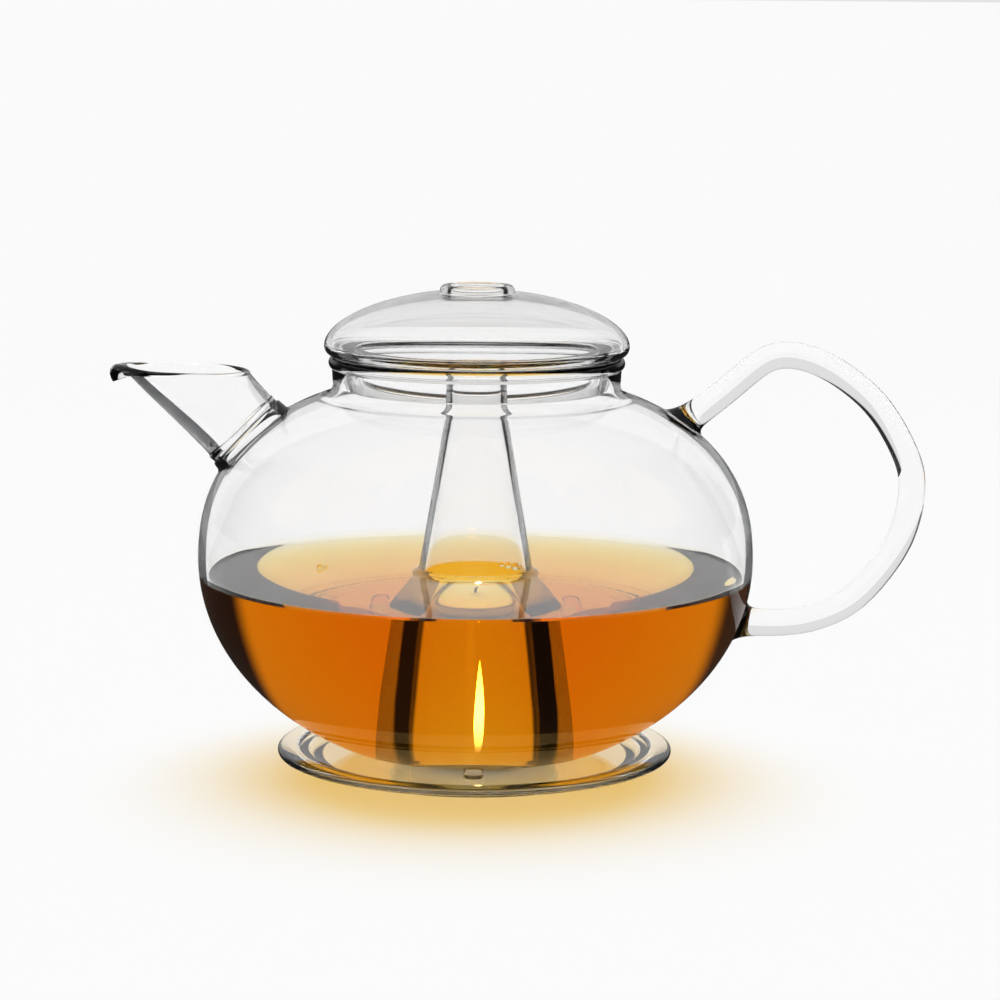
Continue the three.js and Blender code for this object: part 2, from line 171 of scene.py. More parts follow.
# %% [markdown]
# ## Surround
# Clear glass only shows by what it bends into view. A white surround makes it vanish, and a few darker
# places beside and above the set come back as the thin grey outlines that give it its shape. In a studio
# they are black cards. Sharp reflections see white only behind and overhead, so that no haze lies over the
# tea.

# %% Surround: white, with soft dark places
WHITE = 0.955
# where each dark place lies, how far it reaches in degrees, how soft its edge is, and how dark it gets
DARK_PLACES = [
    (Vector((1.0, -0.05, 0.05)), 58, 7, 0.02),
    (Vector((-1.0, -0.10, 0.05)), 55, 10, 0.05),
    (Vector((0.0, -1.0, 0.1)), 60, 30, 0.35),
    (Vector((0.0, -0.1, 1.0)), 38, 30, 0.85),
]
# what sharp reflections see: white this many degrees round the back and this high up, and else a dim grey
MIRROR_BACK = Vector((0, 1, 0))
MIRROR_WHITE_TO, MIRROR_DIM_FROM = 30, 46
MIRROR_UP_FROM, MIRROR_UP_TO = 0.16, 0.45
MIRROR_DIM = 0.14

world = bpy.data.worlds.new("studio")
world.use_nodes = True
tree = world.node_tree
tree.nodes.clear()
direction = add(tree, "ShaderNodeTexCoord").outputs["Generated"]


def near(place, outer, inner, at_outer, at_inner):
    """One number outer degrees and more from a place in the surround, and another within inner degrees."""
    dot = add(tree, "ShaderNodeVectorMath", operation="DOT_PRODUCT")
    wire(tree, direction, dot.inputs[0])
    dot.inputs[1].default_value = place.normalized()
    return faded(tree, dot.outputs["Value"], math.cos(math.radians(outer)), math.cos(math.radians(inner)),
                 at_outer, at_inner)


level = 1.0
for place_at, reach, soft, dark in DARK_PLACES:
    darkened = near(place_at, reach + soft / 2, reach - soft / 2, 1.0, dark)
    level = worked_out(tree, "MULTIPLY", level, darkened)
mirror_back = near(MIRROR_BACK, MIRROR_DIM_FROM, MIRROR_WHITE_TO, MIRROR_DIM, 1.0)
mirror_up = faded(tree, parts_of(tree, direction)["Z"], MIRROR_UP_FROM, MIRROR_UP_TO)
white_here = add(tree, "ShaderNodeMix", data_type="FLOAT")
wire(tree, seen_in_mirror(tree), white_here.inputs["Factor"])
wire(tree, level, white_here.inputs["A"])
wire(tree, worked_out(tree, "MAXIMUM", mirror_back, mirror_up), white_here.inputs["B"])
background = add(tree, "ShaderNodeBackground")
wire(tree, worked_out(tree, "MULTIPLY", white_here.outputs[0], WHITE), background.inputs["Strength"])
wire(tree, background.outputs[0], add(tree, "ShaderNodeOutputWorld").inputs["Surface"])
world.cycles_visibility.diffuse = False
bpy.context.scene.world = world
print("surround with", len(DARK_PLACES), "dark places")

# %% [markdown]
# ## Floor
# A studio floor is a roll of white paper swept up into the background. Here it is one flat disc that takes
# shadows near the set and fades into a plain white glow further out, so that no horizon shows. Where glass
# mirrors the floor it shows only a faint glow: a painted dark reflection in place of the lit paper.

# %% Floor
FLOOR_REACH = 60.0
FLOOR_SIDES = 96
FLOOR_UNDER = 0.2 * MM
PAPER = 0.93
# painted dark reflection: the faint glow the floor shows where glass mirrors it
PAINTED_FLOOR_REFLECTION = 0.05
SWEEP_FROM, SWEEP_TO = 0.25, 1.1
floor_mesh = bpy.data.meshes.new("floor")
corners = [2 * math.pi * i / FLOOR_SIDES for i in range(FLOOR_SIDES)]
floor_mesh.from_pydata([(FLOOR_REACH * math.cos(a), FLOOR_REACH * math.sin(a), 0) for a in corners], [],
                       [list(range(FLOOR_SIDES))])
floor = bpy.data.objects.new("floor", floor_mesh)
bpy.context.scene.collection.objects.link(floor)
paper = new_material("white_paper")
tree = paper.node_tree
matt = add(tree, "ShaderNodeBsdfDiffuse")
matt.inputs["Color"].default_value = (PAPER, PAPER, PAPER, 1)
distance = add(tree, "ShaderNodeVectorMath", operation="LENGTH")
wire(tree, add(tree, "ShaderNodeTexCoord").outputs["Object"], distance.inputs[0])
swept = mixed(tree, faded(tree, distance.outputs["Value"], SWEEP_FROM, SWEEP_TO),
              matt.outputs[0], shining(tree, WHITE).outputs[0])
# in sharp reflections the floor is a painted dark reflection, a faint glow instead of the lit paper
seen = mixed(tree, seen_in_mirror(tree), swept, shining(tree, PAINTED_FLOOR_REFLECTION).outputs[0])
wire(tree, seen, add(tree, "ShaderNodeOutputMaterial").inputs["Surface"])
floor_mesh.materials.append(paper)
floor.location.z = -FLOOR_UNDER
floor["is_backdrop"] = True
print("paper floor out to", FLOOR_REACH, "m, swept up from", SWEEP_FROM, "to", SWEEP_TO, "m")

# %% [markdown]
# ## Light
# One wide soft window stands overhead, a little behind the set. Light from behind is what makes tea glow.
# The window is a sun lamp with a large angle, which lights everything evenly, and the glass doesn't mirror
# it.

# %% Lights
KEY_POWER = 3.6
KEY_SOFTNESS = 64
KEY_BEHIND = 25
key_data = bpy.data.lights.new("window_above", "SUN")
key_data.energy = KEY_POWER
key_data.angle = math.radians(KEY_SOFTNESS)
key_data.cycles.use_multiple_importance_sampling = False
key = bpy.data.objects.new("window_above", key_data)
key.rotation_euler = (math.radians(-KEY_BEHIND), 0, 0)
key.visible_glossy = False
key.visible_transmission = False
key.visible_camera = False
bpy.context.scene.collection.objects.link(key)
print("window", KEY_POWER, "strong and", KEY_SOFTNESS, "degrees wide")

# %% Picture settings
LIGHT_BENDS = 28
LIGHT_MIRRORS = 12
LIGHT_PASSES = 32
scene = bpy.context.scene
scene.view_settings.view_transform = "Standard"
scene.cycles.max_bounces = LIGHT_BENDS
scene.cycles.transmission_bounces = LIGHT_BENDS
scene.cycles.glossy_bounces = LIGHT_MIRRORS
scene.cycles.transparent_max_bounces = LIGHT_PASSES
scene.cycles.caustics_refractive = False
scene.cycles.caustics_reflective = False
print("light may bend", LIGHT_BENDS, "times and mirror", LIGHT_MIRRORS, "times")

# %% [markdown]
# ## Clear glass
# Borosilicate glass bends light by 1.47 and takes a very little of it, which shows where a wall is seen
# edge on. Blown walls are never quite even, so a faint slow bump bends the picture behind them a little.
# Where tea wets the glass, light passes from one to the other nearly straight. A share of the surface
# bends light without mirroring any, as coated glass does, which keeps many walls behind one another clear.
# Shadows come from a see-through surface, because light that has to find its way through curved glass
# needs far more samples.

# %% Glass
GLASS_IOR = 1.47
TEA_IOR = 1.333
GLASS_TINT = (0.10, 0.13, 0.12, 1)
WAVE_SCALE = 38.0
WET = "wet"
WET_COATED = 0.6


def refracting(tree, ior, coated=0.0, normal=None, tint=(1, 1, 1, 1)):
    """A clear surface; coated is the share of it that bends light without mirroring any."""
    glass = add(tree, "ShaderNodeBsdfPrincipled")
    glass.inputs["Base Color"].default_value = tint
    glass.inputs["Transmission Weight"].default_value = 1.0
    unmirrored = add(tree, "ShaderNodeBsdfRefraction")
    unmirrored.inputs["Color"].default_value = tint
    mix = add(tree, "ShaderNodeMixShader")
    mix.inputs["Fac"].default_value = coated
    for shade, slot in ((glass, 1), (unmirrored, 2)):
        shade.inputs["Roughness"].default_value = 0.0
        shade.inputs["IOR"].default_value = ior
        if normal is not None:
            wire(tree, normal, shade.inputs["Normal"])
        wire(tree, shade.outputs[0], mix.inputs[slot])
    return mix.outputs[0]


def taking_up(tree, colour, density):
    volume = add(tree, "ShaderNodeVolumeAbsorption")
    volume.inputs["Color"].default_value = colour
    volume.inputs["Density"].default_value = density
    return volume.outputs[0]


def uneven(tree, scale, detail, strength, depth):
    """The normal of a surface with a fine unevenness."""
    noise = add(tree, "ShaderNodeTexNoise")
    noise.inputs["Scale"].default_value = scale
    noise.inputs["Detail"].default_value = detail
    wire(tree, add(tree, "ShaderNodeTexCoord").outputs["Object"], noise.inputs["Vector"])
    bump = add(tree, "ShaderNodeBump")
    bump.inputs["Strength"].default_value = strength
    bump.inputs["Distance"].default_value = depth
    wire(tree, noise.outputs["Fac"], bump.inputs["Height"])
    return bump.outputs["Normal"]


def clear_glass(name, waviness, density, coated, wetted=False):
    material = new_material(name)
    tree = material.node_tree
    surface = refracting(tree, GLASS_IOR, coated, uneven(tree, WAVE_SCALE, 1.0, waviness, 1 * MM))
    if wetted:
        wet_here = add(tree, "ShaderNodeAttribute", attribute_name=WET)
        against_tea = refracting(tree, GLASS_IOR / TEA_IOR, WET_COATED)
        surface = mixed(tree, wet_here.outputs["Fac"], surface, against_tea)
    in_shadow = add(tree, "ShaderNodeLightPath").outputs["Is Shadow Ray"]
    out = add(tree, "ShaderNodeOutputMaterial")
    wire(tree, mixed(tree, in_shadow, surface, see_through(tree)), out.inputs["Surface"])
    wire(tree, taking_up(tree, GLASS_TINT, density), out.inputs["Volume"])
    return material


blown_glass = clear_glass("blown_glass", waviness=0.10, density=2.0, coated=0.55, wetted=True)
drawn_glass = clear_glass("drawn_glass", waviness=0.04, density=1.2, coated=0.2)
pressed_glass = clear_glass("pressed_glass", waviness=0.05, density=2.0, coated=0.15)
print("three glasses, index", GLASS_IOR, "and", round(GLASS_IOR / TEA_IOR, 3), "against tea")

# %% [markdown]
# ## Turned shapes
# The saucer, pot, cone and lid are all round, so each is one outline turned about the pot's axis. The
# outline runs down the outside and back up the inside, which gives the glass its true wall.

# %% Outlines
def arc(r, z, radius_r, radius_z, start, end, steps):
    points = []
    for i in range(steps + 1):
        angle = math.radians(start + (end - start) * i / steps)
        points.append((r + radius_r * math.cos(angle), z + radius_z * math.sin(angle)))
    return points


def round_arc(half_width, half_height, power, centre_z, start, end, steps):
    points = []
    for i in range(steps + 1):
        angle = math.radians(start + (end - start) * i / steps)
        r = half_width * max(math.cos(angle), 0) ** (2 / power)
        h = half_height * math.copysign(abs(math.sin(angle)) ** (2 / power), math.sin(angle))
        points.append((r, centre_z + h))
    return points


def round_height(r, half_width, half_height, power):
    return half_height * (1 - (r / half_width) ** power) ** (1 / power)


def turned(name, outline, material, segments=192, crease=40):
    """A closed outline in millimetres, r and z, turned about the Z axis."""
    mesh = bpy.data.meshes.new(name)
    verts = []
    rings = []
    for r, z in outline:
        if r < 1e-6:
            rings.append([len(verts)] * segments)
            verts.append((0, 0, z * MM))
            continue
        rings.append(list(range(len(verts), len(verts) + segments)))
        for i in range(segments):
            angle = 2 * math.pi * i / segments
            verts.append((r * MM * math.cos(angle), r * MM * math.sin(angle), z * MM))
    closed = outline[0][0] >= 1e-6
    faces = []
    for k in range(len(rings) if closed else len(rings) - 1):
        low, high = rings[k], rings[(k + 1) % len(rings)]
        for i in range(segments):
            j = (i + 1) % segments
            corners = [low[i], low[j], high[j], high[i]]
            faces.append(list(dict.fromkeys(corners)))
    mesh.from_pydata(verts, [], faces)
    return finished(name, mesh, material, crease)


def finished(name, mesh, material, crease=40):
    """Faces out, smooth shading broken at creases, and one material."""
    shape = bmesh.new()
    shape.from_mesh(mesh)
    bmesh.ops.recalc_face_normals(shape, faces=shape.faces)
    if shape.calc_volume(signed=True) < 0:
        bmesh.ops.reverse_faces(shape, faces=shape.faces)
    shape.to_mesh(mesh)
    shape.free()
    mesh.shade_smooth()
    mesh.set_sharp_from_angle(angle=math.radians(crease))
    mesh.materials.append(material)
    piece = bpy.data.objects.new(name, mesh)
    bpy.context.scene.collection.objects.link(piece)
    print(name, len(mesh.polygons), "faces", [round(d / MM, 1) for d in piece.dimensions], "mm")
    return piece


def place(piece, body, slot, *nodes):
    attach(piece, body)
    if nodes:
        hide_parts(*nodes)


# %% [markdown]
# ## Saucer and nubs
# A shallow pressed dish with a flat flange. Three small beads of glass hold the pot off it, so that air
# reaches the flame.

# %% Saucer
saucer_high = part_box("saucer")[1]
SAUCER_R = saucer_high.x / MM
SAUCER_RIM_Z = saucer_high.z / MM
SAUCER_WELL_R = 53
SAUCER_SLOPE_W = 6
SAUCER_GLASS = 3
SAUCER_FLANGE_T = 2.4

edge = SAUCER_FLANGE_T / 2
saucer = turned("saucer_glass", [
    (0, 0), (SAUCER_WELL_R - SAUCER_SLOPE_W - 1.5, 0),
    *arc(SAUCER_WELL_R - SAUCER_SLOPE_W - 1.5, 2.5, 2.5, 2.5, -80, -35, 5),
    *arc(SAUCER_WELL_R + 0.6, SAUCER_RIM_Z - SAUCER_FLANGE_T - 3, 3, 3, 145, 95, 5),
    *arc(SAUCER_R - edge, SAUCER_RIM_Z - edge, edge, edge, -90, 90, 10),
    *arc(SAUCER_WELL_R + 1.2, SAUCER_RIM_Z - 2, 2, 2, 90, 145, 5),
    *arc(SAUCER_WELL_R - SAUCER_SLOPE_W, SAUCER_GLASS + 4, 4, 4, -35, -90, 6),
    (0, SAUCER_GLASS),
], pressed_glass)
place(saucer, "base", "clear_glass", "saucer")

# %% Nubs
NUB_SUNK = 0.2
for number in (1, 2, 3):
    low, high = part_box(f"rest_nub_{number}")
    radius = (high.x - low.x) / 2 / MM
    height = (high.z - low.z) / MM
    crown = arc(radius * 0.35, height * 0.3, radius * 0.6, height * 0.7, 5, 90, 10)[:-1]
    nub_outline = [(0, -NUB_SUNK), (radius, -NUB_SUNK), *crown, (0, height)]
    nub = turned(f"nub_{number}", nub_outline, pressed_glass, segments=40)
    nub.location = ((low.x + high.x) / 2, (low.y + high.y) / 2, low.z)
    place(nub, "base", "clear_glass", f"rest_nub_{number}")

# %% [markdown]
# ## Pot and chimney
# The pot is blown, and its bottom is folded up into a cone: the candle's heat rises through the middle of
# the tea. Body and cone are one skin of glass, so they are one closed outline here: up the outside, over
# the rolled rim, down the inside, and up and down the cone.

# %% Sizes of the pot
pot_low, pot_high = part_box("pot_body")
chimney_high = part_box("chimney")[1]
POT_R = pot_high.x / MM
POT_BOTTOM_Z = pot_low.z / MM
RIM_Z = pot_high.z / MM
POT_WALL = 2.2
POT_BELOW = 64
POT_ABOVE = 55.5
ABOVE_POWER = 2.35
WIDEST_Z = POT_BOTTOM_Z + 56
NECK_R = 42.9
NECK_FILLET = 3.5
RIM_ROLL = 2
RIM_PROUD = 1.3
CHIMNEY_WALL = 1.9
CHIMNEY_FOOT_R = chimney_high.x / MM
CHIMNEY_TOP_R = 9
CHIMNEY_TOP_Z = chimney_high.z / MM
CHIMNEY_TUBE_L = 14
HEEL_R = 3.5
SHOULDER_Z = WIDEST_Z + round_height(NECK_R + NECK_FILLET, POT_R, POT_ABOVE, ABOVE_POWER)
print("pot", round(POT_R, 2), "rim at", round(RIM_Z, 2), "shoulder at", round(SHOULDER_Z, 2))


# %% Pot outlines
CONE_STEPS = 40
BEND_STEPS = 14


def pot_side(depth, below_steps=44, above_steps=56):
    """The pot's side from its flat bottom to the top of the neck's fillet, depth inside the outer face."""
    below = POT_BELOW - depth
    low = -math.degrees(math.asin((WIDEST_Z - POT_BOTTOM_Z - depth) / below))
    side = round_arc(POT_R - depth, below, 2, WIDEST_Z, low, 0, below_steps)
    fillet_r = NECK_R + NECK_FILLET
    ratio = (fillet_r / (POT_R - depth)) ** (ABOVE_POWER / 2)
    high = math.degrees(math.acos(ratio))
    side += round_arc(POT_R - depth, POT_ABOVE - depth, ABOVE_POWER, WIDEST_Z, 0, high, above_steps)[1:]
    reach = NECK_FILLET + depth
    return side + arc(fillet_r, SHOULDER_Z + NECK_FILLET, reach, reach, -108, -180, 12)


def between(start, end, across, up):
    """A point some share of the way across and some share of the way up from start to end."""
    return (start[0] + (end[0] - start[0]) * across, start[1] + (end[1] - start[1]) * up)


def chimney_side(inset):
    """The cone's side from foot to tube, inset inside its outer face."""
    bend = CHIMNEY_TOP_Z - CHIMNEY_TUBE_L
    foot_at = (CHIMNEY_FOOT_R, POT_BOTTOM_Z)
    bend_at = (CHIMNEY_TOP_R + 1.1, bend - 6)
    tube_at = (CHIMNEY_TOP_R, bend + 4)
    points = []
    for i in range(CONE_STEPS):
        t = i / CONE_STEPS
        points.append(between(foot_at, bend_at, t, t))
    for i in range(BEND_STEPS + 1):
        t = i / BEND_STEPS
        points.append(between(bend_at, tube_at, 1 - (1 - t) ** 2, t))
    return [(r - inset, z) for r, z in points]


def pot_outline():
    rim_r = NECK_R + RIM_PROUD
    roll_r = rim_r - RIM_ROLL
    inner = math.degrees(math.acos((NECK_R - POT_WALL - roll_r) / RIM_ROLL))
    outside = [(r, z) for r, z in pot_side(0) if r > CHIMNEY_FOOT_R]
    inside = pot_side(POT_WALL)[::-1]
    outer_cone = [(r, z) for r, z in chimney_side(0) if z > POT_BOTTOM_Z + POT_WALL + HEEL_R]
    fillet_r = outer_cone[0][0]
    foot = [(fillet_r + HEEL_R * (1 - math.sin(math.radians(a))),
             POT_BOTTOM_Z + POT_WALL + HEEL_R * (1 - math.cos(math.radians(a)))) for a in range(0, 90, 18)]
    lip = CHIMNEY_WALL / 2
    top = arc(CHIMNEY_TOP_R - lip + 0.3, CHIMNEY_TOP_Z - lip, lip, lip, -20, 200, 12)
    inner_cone = chimney_side(CHIMNEY_WALL)[::-1]
    heel_in = [(CHIMNEY_FOOT_R - CHIMNEY_WALL + 0.35, POT_BOTTOM_Z + 0.1),
               (CHIMNEY_FOOT_R - 0.9, POT_BOTTOM_Z)]
    return (outside + arc(roll_r, RIM_Z - RIM_ROLL, RIM_ROLL, RIM_ROLL, -60, inner, 16) + inside
            + foot + outer_cone + top + inner_cone[:-1] + heel_in)


pot = turned("pot_glass", pot_outline(), blown_glass, segments=256)

# %% [markdown]
# ## Spout
# The spout is a separate piece of blown tube, opened out and cut on the slant, and melted on to a hole in
# the shoulder. A thicker ring shows where the two were joined, and the lip is curled over so that it
# doesn't drip.

# %% Places on the pot's skin
def on_pot(degrees_up, depth=0):
    """A point of the pot's outer curve as x and z, with its outward direction."""
    high, power = (POT_ABOVE, ABOVE_POWER) if degrees_up >= 0 else (POT_BELOW, 2)
    r, z = round_arc(POT_R, high, power, WIDEST_Z, degrees_up, 0, 1)[0]
    lean_up = math.copysign((abs(z - WIDEST_Z) / high) ** (power - 1) / high, z - WIDEST_Z)
    out = Vector(((r / POT_R) ** (power - 1) / POT_R, 0, lean_up)).normalized()
    return Vector((r, 0, z)) - out * depth, out


def inside_pot(point, depth):
    """Negative inside the skin that lies depth under the pot's outer face."""
    high, power = (POT_ABOVE, ABOVE_POWER) if point.z >= WIDEST_Z else (POT_BELOW, 2)
    r = math.hypot(point.x, point.y)
    return (r / (POT_R - depth)) ** power + (abs(point.z - WIDEST_Z) / (high - depth)) ** power - 1


def drop_to_pot(point, along, depth):
    """The distance from point along a direction to the skin at that depth."""
    near, far = -25.0, 25.0
    for _ in range(40):
        middle = (near + far) / 2
        if inside_pot(point + along * middle, depth) < 0:
            near = middle
        else:
            far = middle
    return near


def catmull(points, per_span):
    """A smooth run of points through the given ones, lists of numbers of any length."""
    run = []
    count = len(points)
    for k in range(count - 1):
        a, b, c, d = (points[max(k - 1, 0)], points[k], points[k + 1], points[min(k + 2, count - 1)])
        for step in range(per_span):
            t = step / per_span
            run.append([0.5 * (2 * q + (r - p) * t + (2 * p - 5 * q + 4 * r - s) * t * t
                               + (3 * q - p - 3 * r + s) * t ** 3) for p, q, r, s in zip(a, b, c, d)])
    run.append(list(points[-1]))
    return run


# %% Spout
SPOUT_ANGLE = 37.8
SPOUT_RISE = math.radians(45)
SPOUT_ROOT_R = 13.05
SPOUT_HOLE_R = 10.8
SPOUT_WALL = 2.1
UNDER_WALL = 3.4
COLLAR_H = 1.4
COLLAR_R = 13.6
COLLAR_ROUND = 0.6
IN_WALL = 1.1
ROUND = 96
RINGS_PER_SECTION = 9
SPOUT_SECTIONS = [
    [-12.3, -5.4, 6.6, 11.5, 12.8],
    [-18.0, 0.5, 4.8, 13.4, 12.8],
    [-25.0, 7.4, 3.1, 15.2, 13.5],
    [-32.0, 14.3, 1.6, 16.9, 14.8],
    [-37.2, 19.7, 0.4, 18.3, 16.0],
]
# the curled lip's section, from the outer wall round to the inner one, out and up in millimetres
CURL = [(1.2, -0.5), (2.3, -0.4), (2.9, -1.1), (2.9, -2.3), (2.7, -3.5), (3.3, -3.9), (3.8, -3.1),
        (4.3, -1.6), (4.2, -0.2), (3.3, 0.9), (1.8, 1.5), (0.0, 1.4), (-1.4, 0.6)]

root, root_out = on_pot(SPOUT_ANGLE)
root = Vector((-root.x, 0, root.z))
along = Vector((-math.cos(SPOUT_RISE), 0, math.sin(SPOUT_RISE)))
across = Vector((math.sin(SPOUT_RISE), 0, math.cos(SPOUT_RISE)))


def root_ring(radius, height, depth=None):
    """A ring round the spout's axis, level at a height along it, or lying on the pot's skin at a depth."""
    ring = []
    for i in range(ROUND):
        angle = 2 * math.pi * i / ROUND
        foot = root + across * radius * math.cos(angle) + Vector((0, radius * math.sin(angle), 0))
        up = height if depth is None else drop_to_pot(foot, along, depth) + height
        ring.append(foot + along * up)
    return ring


def spout_ring(section, shrink=0.0, rim=None):
    """A ring of the spout's body: shrink is the share of the wall it lies in, rim a step over the edge."""
    under = Vector((section[0], 0, section[1]))
    over = Vector((section[2], 0, section[3]))
    middle, half = (under + over) / 2, (over - under) / 2
    ring = []
    for i in range(ROUND):
        angle = 2 * math.pi * i / ROUND
        under_share = ((1 - math.cos(angle)) / 2) ** 2
        wall = SPOUT_WALL + (UNDER_WALL - SPOUT_WALL) * under_share
        inset, lift, push = shrink * wall, 0.0, 0.0
        if rim is not None:
            turn = math.pi * (rim + 1) / (len(CURL) + 1)
            share = ((1 - math.cos(angle)) / 2) ** 8
            inset = wall * 0.5 * (1 - math.cos(turn)) * (1 - share)
            lift = SPOUT_WALL / 2 * math.sin(turn) * (1 - share) + CURL[rim][1] * share
            push = CURL[rim][0] * share
        size = 1 - inset / half.length
        ring.append(Vector((
            root.x + middle.x + half.x * size * math.cos(angle) - push,
            (section[4] - inset) * math.sin(angle),
            root.z + middle.z + half.z * size * math.cos(angle) + lift)))
    return ring


def loft(name, rings, material, ends=False):
    """Closed rings of points in millimetres, joined one to the next; with ends the two ends are filled."""
    count = len(rings[0])
    verts = [point * MM for ring in rings for point in ring]
    faces = []
    for k in range(len(rings) - (1 if ends else 0)):
        a, b = k * count, ((k + 1) % len(rings)) * count
        faces += [[a + i, a + (i + 1) % count, b + (i + 1) % count, b + i] for i in range(count)]
    if ends:
        faces += [list(range(count)), list(range((len(rings) - 1) * count, len(rings) * count))]
    mesh = bpy.data.meshes.new(name)
    mesh.from_pydata(verts, [], faces)
    return finished(name, mesh, material)


tip_start = along * (COLLAR_H + 2.2)
first = [tip_start.x - across.x * SPOUT_ROOT_R, tip_start.z - across.z * SPOUT_ROOT_R,
         tip_start.x + across.x * SPOUT_ROOT_R, tip_start.z + across.z * SPOUT_ROOT_R, SPOUT_ROOT_R]
body_sections = catmull([first, *SPOUT_SECTIONS], RINGS_PER_SECTION)
outer = [root_ring(COLLAR_R + 1.0, 0, IN_WALL)]
outer += [root_ring(COLLAR_R + out, up, 0) for out, up in ((0.7, 0.1), (0.2, 0.6))]
outer += [root_ring(r, h) for r, h in arc(COLLAR_R - COLLAR_ROUND, COLLAR_H - COLLAR_ROUND,
                                          COLLAR_ROUND, COLLAR_ROUND, 0, 90, 3)]
outer.append(root_ring(SPOUT_ROOT_R - 0.15, COLLAR_H + 0.1))
outer.append(root_ring(SPOUT_ROOT_R - 0.1, COLLAR_H + 1.0))
outer += [spout_ring(section) for section in body_sections]
over_edge = [spout_ring(SPOUT_SECTIONS[-1], rim=step) for step in range(len(CURL))]
inner = [spout_ring(section, 1.0) for section in body_sections[::-1]]
inner += [root_ring(SPOUT_HOLE_R, COLLAR_H + 0.6), root_ring(SPOUT_HOLE_R - 0.1, 0.8)]
inner.append(root_ring(SPOUT_HOLE_R, 0, IN_WALL))
spout = loft("spout_glass", outer + over_edge + inner, blown_glass)
print("spout of", len(outer + over_edge + inner), "rings")

# %% [markdown]
# ## Handle
# The handle is solid rod, bent hot over a former and melted on in two places. At each weld the rod swells
# into the wall, and this flare is what carries the pot's weight.

# %% Handle
ROD_R = 4.0
WELD_R = 7.4
UP_ANGLE, LOW_ANGLE = 45.4, -17.5
ROD_SIDES = 64
ROD_STEPS = 150
SMOOTHINGS = 45
FLARE_FROM, FLARE_L = 0.6, 2.1
TURN_IN_L = 7.0
# the bow's line, out and up from each weld in millimetres
BOW_UPPER = [(9.6, 6.9), (17.6, 13.8), (24.7, 19.6), (31.2, 21.3), (38.5, 20.0), (45.6, 16.8), (52.5, 12.0),
             (60.7, 4.2)]
BOW_LOWER = [(51.3, 49.2), (52.5, 41.2), (51.6, 32.7), (48.1, 22.3), (37.9, 8.8), (28.9, 2.8), (16.0, -0.8)]
NEAR_WELD = [0, 0.5, 1.0, 1.5, 2.0, 2.6, 3.3, 4.1, 5.0, 6.2, 7.6, 9.2]

upper, upper_out = on_pot(UP_ANGLE, IN_WALL)
lower, lower_out = on_pot(LOW_ANGLE, IN_WALL)
route = [upper] + [upper + Vector((x, 0, z)) for x, z in BOW_UPPER]
route += [lower + Vector((x, 0, z)) for x, z in BOW_LOWER] + [lower]
line = [Vector(point) for point in catmull([tuple(p) for p in route], 12)]
for _ in range(SMOOTHINGS):
    smooth = [(a + b * 2 + c) / 4 for a, b, c in zip(line, line[1:], line[2:])]
    line = [line[0], *smooth, line[-1]]
lengths = [0.0]
for a, b in zip(line, line[1:]):
    lengths.append(lengths[-1] + (b - a).length)
print("handle rod", round(lengths[-1]), "mm long")


def sample_line(distance):
    for k in range(len(lengths) - 1):
        if lengths[k + 1] >= distance:
            t = (distance - lengths[k]) / (lengths[k + 1] - lengths[k])
            return line[k].lerp(line[k + 1], t), (line[k + 1] - line[k]).normalized()
    return line[-1], (line[-1] - line[-2]).normalized()


total = lengths[-1]
free_rod = total - 2 * NEAR_WELD[-1]
steps = NEAR_WELD + [NEAR_WELD[-1] + free_rod * i / ROD_STEPS for i in range(1, ROD_STEPS)]
steps += [total - near_end for near_end in NEAR_WELD[::-1]]
rings = []
for distance in steps:
    centre, tangent = sample_line(distance)
    from_end = min(distance, total - distance)
    weld_out = upper_out if distance < total / 2 else -lower_out
    blend_in = min(from_end / TURN_IN_L, 1.0)
    blend_in = blend_in * blend_in * (3 - 2 * blend_in)
    facing = weld_out.lerp(tangent, blend_in).normalized()
    side = Vector((0, 1, 0))
    up = side.cross(facing).normalized()
    radius = ROD_R + (WELD_R - ROD_R) * math.exp(-max(from_end - FLARE_FROM, 0) / FLARE_L)
    turns = [2 * math.pi * i / ROD_SIDES for i in range(ROD_SIDES)]
    rings.append([centre + side * radius * math.cos(a) + up * radius * math.sin(a) for a in turns])
handle = loft("handle_glass", rings, blown_glass, ends=True)

# %% [markdown]
# ## Melting the parts together
# A lamp-worker blows a hole in the shoulder, sets the spout on it and presses the hot rod on to the side.
# Three cuts do the same here: the hole is taken away, and spout and handle are joined to the pot. Joined
# walls leave no face inside the glass, which light would otherwise bend at twice.

# %% Melt the parts together
def melt(target, tool, operation):
    step = target.modifiers.new(operation.lower(), "BOOLEAN")
    step.operation = operation
    step.solver = "MANIFOLD"
    step.object = tool
    bpy.context.view_layer.update()
    result = target.evaluated_get(bpy.context.evaluated_depsgraph_get())
    mesh = bpy.data.meshes.new_from_object(result)
    target.modifiers.clear()
    target.data = mesh
    bpy.data.objects.remove(tool)


DRILL_FROM, DRILL_TO, DRILL_OVER = -9, 6, 0.25
drill = loft("drill", [root_ring(SPOUT_HOLE_R + DRILL_OVER, height) for height in (DRILL_FROM, DRILL_TO)],
             blown_glass, ends=True)
melt(pot, drill, "DIFFERENCE")
melt(pot, spout, "UNION")
melt(pot, handle, "UNION")
pot.data.shade_smooth()
pot.data.set_sharp_from_angle(angle=math.radians(50))
place(pot, "pot", "clear_glass", "pot_body", "chimney", "spout_collar", "spout", "handle",
      "handle_weld_upper", "handle_weld_lower")
print("melted pot", len(pot.data.polygons), "faces")

# %% [markdown]
# ## Where the tea wets the glass
# Light that goes from glass into tea hardly bends, so the faces that touch tea need another number than
# the dry ones. A number on each face marks them, and the blown glass reads that mark.

# %% Where the tea will wet the glass
TEA_Z = 58.8
WET_MARGIN = 0.3


